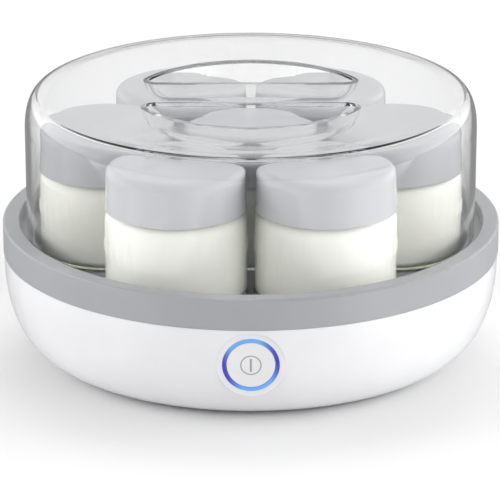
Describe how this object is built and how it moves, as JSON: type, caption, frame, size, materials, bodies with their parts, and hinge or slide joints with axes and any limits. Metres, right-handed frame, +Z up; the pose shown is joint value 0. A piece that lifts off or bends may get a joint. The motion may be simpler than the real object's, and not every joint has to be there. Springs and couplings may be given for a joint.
{
  "type": "yogurt maker",
  "caption": "Round electric yogurt maker: white base with a grey rim and a lit power button, clear domed lid, and capped glass jars of yogurt in a warmed tray.",
  "frame": {"origin": "centre of the base on the floor it stands on, directly under the centre jar", "axes": "+Z up, -Y towards the user (the power button), +X to the user's right"},
  "size_m": [0.24, 0.24, 0.1268],
  "materials": {
    "white_plastic": "glossy moulded ABS",
    "grey_plastic": "satin moulded, fine texture",
    "cap_plastic": "satin moulded",
    "clear_plastic": "clear, polished",
    "jar_glass": "clear moulded glass",
    "yogurt": "smooth set yogurt, stands in for the food",
    "light_guide": "translucent, lit blue",
    "icon_ink": "inlaid",
    "aluminium": "mill finish",
    "silicone": "silicone sleeve",
    "felt": "needled glass fibre",
    "steel": "zinc plated",
    "dark_plastic": "moulded",
    "circuit_board": "solder mask",
    "yellow_plastic": "moulded case",
    "green_plastic": "moulded",
    "connector_plastic": "moulded",
    "led_package": "moulded",
    "lead_grey": "PVC",
    "lead_white": "silicone",
    "rubber": "moulded"
  },
  "bodies": {
    "base": {"board_headers": "connector_plastic", "board_screws": "steel", "button_board": "circuit_board", "button_board_screws": "steel", "button_lead": "lead_grey", "button_socket": "connector_plastic", "case_screws": "steel", "control_board": "circuit_board", "cord_gland": "rubber", "electrolytic_capacitor": "dark_plastic", "film_capacitor": "yellow_plastic", "foot_1": "rubber", "foot_2": "rubber", "foot_3": "rubber", "foot_4": "rubber", "heater_cord": "silicone", "heater_leads": "lead_white", "heater_plate": "aluminium", "heater_screws": "steel", "insulation_pad": "felt", "light_ring": "light_guide", "outer_shell": "white_plastic", "relay": "dark_plastic", "ring_leds": "led_package", "sensor_leads": "lead_grey", "tact_switch": "dark_plastic", "temperature_sensor": "dark_plastic", "terminal_block": "green_plastic", "thermal_fuse": "steel", "top_housing": "grey_plastic"},
    "lid": {"lid": "clear_plastic"},
    "button": {"power_button": "white_plastic", "button_icon": "icon_ink", "switch_plunger": "dark_plastic"},
    "jar_1": {"glass_jar_1": "jar_glass", "yogurt_1": "yogurt"},
    "cap_1": {"jar_cap_1": "cap_plastic"},
    "jar_2": {"glass_jar_2": "jar_glass", "yogurt_2": "yogurt"},
    "cap_2": {"jar_cap_2": "cap_plastic"},
    "jar_3": {"glass_jar_3": "jar_glass", "yogurt_3": "yogurt"},
    "cap_3": {"jar_cap_3": "cap_plastic"},
    "jar_4": {"glass_jar_4": "jar_glass", "yogurt_4": "yogurt"},
    "cap_4": {"jar_cap_4": "cap_plastic"},
    "jar_5": {"glass_jar_5": "jar_glass", "yogurt_5": "yogurt"},
    "cap_5": {"jar_cap_5": "cap_plastic"},
    "jar_6": {"glass_jar_6": "jar_glass", "yogurt_6": "yogurt"},
    "cap_6": {"jar_cap_6": "cap_plastic"},
    "jar_7": {"glass_jar_7": "jar_glass", "yogurt_7": "yogurt"},
    "cap_7": {"jar_cap_7": "cap_plastic"}
  },
  "joints": [
    {"name": "lid_lift", "type": "slide", "parent": "base", "child": "lid", "axis": [0, 0, 1], "range_m": [0, 0.3]},
    {"name": "button_press", "type": "slide", "parent": "base", "child": "button", "axis": [0, 0.9976, 0.0698], "range_m": [0, 0.001], "stiffness_N_per_m": 800, "springref_m": -0.001},
    {"name": "jar_1_lift", "type": "slide", "parent": "base", "child": "jar_1", "axis": [0, 0, 1], "range_m": [0, 0.1]},
    {"name": "cap_1_lift", "type": "slide", "parent": "jar_1", "child": "cap_1", "axis": [0, 0, 1], "range_m": [0, 0.039]},
    {"name": "jar_2_lift", "type": "slide", "parent": "base", "child": "jar_2", "axis": [0, 0, 1], "range_m": [0, 0.1]},
    {"name": "cap_2_lift", "type": "slide", "parent": "jar_2", "child": "cap_2", "axis": [0, 0, 1], "range_m": [0, 0.039]},
    {"name": "jar_3_lift", "type": "slide", "parent": "base", "child": "jar_3", "axis": [0, 0, 1], "range_m": [0, 0.1]},
    {"name": "cap_3_lift", "type": "slide", "parent": "jar_3", "child": "cap_3", "axis": [0, 0, 1], "range_m": [0, 0.039]},
    {"name": "jar_4_lift", "type": "slide", "parent": "base", "child": "jar_4", "axis": [0, 0, 1], "range_m": [0, 0.1]},
    {"name": "cap_4_lift", "type": "slide", "parent": "jar_4", "child": "cap_4", "axis": [0, 0, 1], "range_m": [0, 0.039]},
    {"name": "jar_5_lift", "type": "slide", "parent": "base", "child": "jar_5", "axis": [0, 0, 1], "range_m": [0, 0.1]},
    {"name": "cap_5_lift", "type": "slide", "parent": "jar_5", "child": "cap_5", "axis": [0, 0, 1], "range_m": [0, 0.039]},
    {"name": "jar_6_lift", "type": "slide", "parent": "base", "child": "jar_6", "axis": [0, 0, 1], "range_m": [0, 0.1]},
    {"name": "cap_6_lift", "type": "slide", "parent": "jar_6", "child": "cap_6", "axis": [0, 0, 1], "range_m": [0, 0.039]},
    {"name": "jar_7_lift", "type": "slide", "parent": "base", "child": "jar_7", "axis": [0, 0, 1], "range_m": [0, 0.1]},
    {"name": "cap_7_lift", "type": "slide", "parent": "jar_7", "child": "cap_7", "axis": [0, 0, 1], "range_m": [0, 0.039]}
  ],
  "couplings": [
    {"joint": "jar_1_lift", "follows": "lid_lift", "ratio": 0.3333},
    {"joint": "cap_1_lift", "follows": "lid_lift", "ratio": 0.13},
    {"joint": "jar_2_lift", "follows": "lid_lift", "ratio": 0.3333},
    {"joint": "cap_2_lift", "follows": "lid_lift", "ratio": 0.13},
    {"joint": "jar_3_lift", "follows": "lid_lift", "ratio": 0.3333},
    {"joint": "cap_3_lift", "follows": "lid_lift", "ratio": 0.13},
    {"joint": "jar_4_lift", "follows": "lid_lift", "ratio": 0.3333},
    {"joint": "cap_4_lift", "follows": "lid_lift", "ratio": 0.13},
    {"joint": "jar_5_lift", "follows": "lid_lift", "ratio": 0.3333},
    {"joint": "cap_5_lift", "follows": "lid_lift", "ratio": 0.13},
    {"joint": "jar_6_lift", "follows": "lid_lift", "ratio": 0.3333},
    {"joint": "cap_6_lift", "follows": "lid_lift", "ratio": 0.13},
    {"joint": "jar_7_lift", "follows": "lid_lift", "ratio": 0.3333},
    {"joint": "cap_7_lift", "follows": "lid_lift", "ratio": 0.13}
  ]
}
